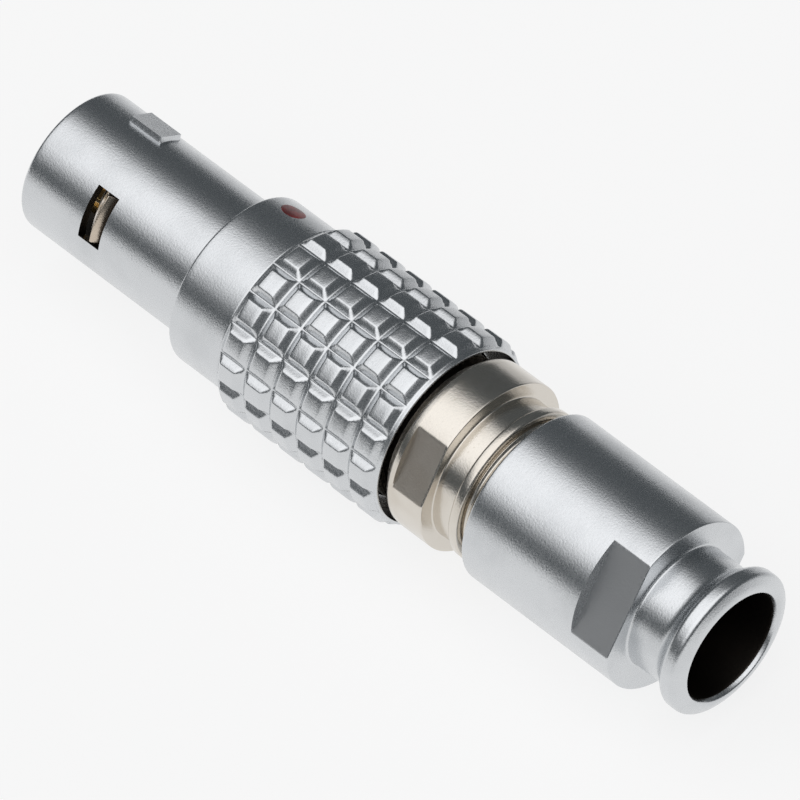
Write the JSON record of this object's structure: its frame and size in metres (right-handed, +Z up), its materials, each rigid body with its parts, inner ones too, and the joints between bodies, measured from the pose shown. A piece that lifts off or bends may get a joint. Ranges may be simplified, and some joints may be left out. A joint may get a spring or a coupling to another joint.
{
  "type": "push pull circular connector plug",
  "caption": "Straight push pull circular connector plug with a keyed nose, latch windows, toothed grip, flatted collar and screw-on cable clamp nut.",
  "frame": {"origin": "on the surface the plug rests on, under the middle of its length and width", "axes": "+X runs along the plug towards the mating tip, +Z is up; the plug lies on one row of its grip teeth with its axis level"},
  "size_m": [0.0398, 0.0094, 0.0095],
  "materials": {
    "satin_chrome_shell": "satin chrome plate on turned brass",
    "red_index": "gloss red lacquer",
    "nickel_sleeve": "bright nickel plate on turned brass",
    "nickel_finger": "bright nickel plate on spring brass",
    "dark_insulator": "moulded engineering plastic",
    "bushing_metal": "nickel plate on brass",
    "collet_metal": "nickel plate on slotted brass",
    "satin_chrome_nut": "satin chrome plate on turned brass, fine turning marks",
    "gold_contact": "gold plate on turned brass"
  },
  "bodies": {
    "core": {"latch_sleeve": "nickel_sleeve", "half_bushing_a": "bushing_metal", "half_bushing_b": "bushing_metal", "contact_insulator": "dark_insulator", "pin_contact_1": "gold_contact", "pin_contact_2": "gold_contact", "pin_contact_3": "gold_contact", "pin_contact_4": "gold_contact", "pin_contact_5": "gold_contact", "pin_contact_6": "gold_contact", "pin_contact_7": "gold_contact"},
    "outer_shell": {"outer_shell": "satin_chrome_shell", "index_dot": "red_index"},
    "latch_finger_a": {"latch_finger_a": "nickel_finger"},
    "latch_finger_b": {"latch_finger_b": "nickel_finger"},
    "cable_collet": {"cable_collet": "collet_metal"},
    "back_nut": {"back_nut": "satin_chrome_nut"}
  },
  "joints": [
    {"name": "shell_pull", "type": "slide", "parent": "core", "child": "outer_shell", "axis": [-1, 0, 0], "range_m": [0, 0.0008], "stiffness_N_per_m": 1500},
    {"name": "finger_a_flex", "type": "hinge", "parent": "core", "child": "latch_finger_a", "pos_m": [0.0082, 0.00229, 0.0063], "axis": [0, 0.5592, -0.829], "range_deg": [0, 4.8], "stiffness_Nm_per_rad": 0.001},
    {"name": "finger_b_flex", "type": "hinge", "parent": "core", "child": "latch_finger_b", "pos_m": [0.0082, -0.00229, 0.0032], "axis": [0, -0.5592, 0.829], "range_deg": [0, 4.8], "stiffness_Nm_per_rad": 0.001},
    {"name": "collet_travel", "type": "slide", "parent": "core", "child": "cable_collet", "axis": [-1, 0, 0], "range_m": [-0.0005, 0.0015]},
    {"name": "nut_turn", "type": "hinge", "parent": "cable_collet", "child": "back_nut", "pos_m": [-0.0121, 0, 0.00475], "axis": [-1, 0, 0], "range_deg": [-360, 1080]}
  ],
  "couplings": [
    {"joint": "finger_a_flex", "follows": "shell_pull", "rad_per_m": 104.7},
    {"joint": "finger_b_flex", "follows": "shell_pull", "rad_per_m": 104.7},
    {"joint": "nut_turn", "follows": "collet_travel", "rad_per_m": 12566}
  ]
}
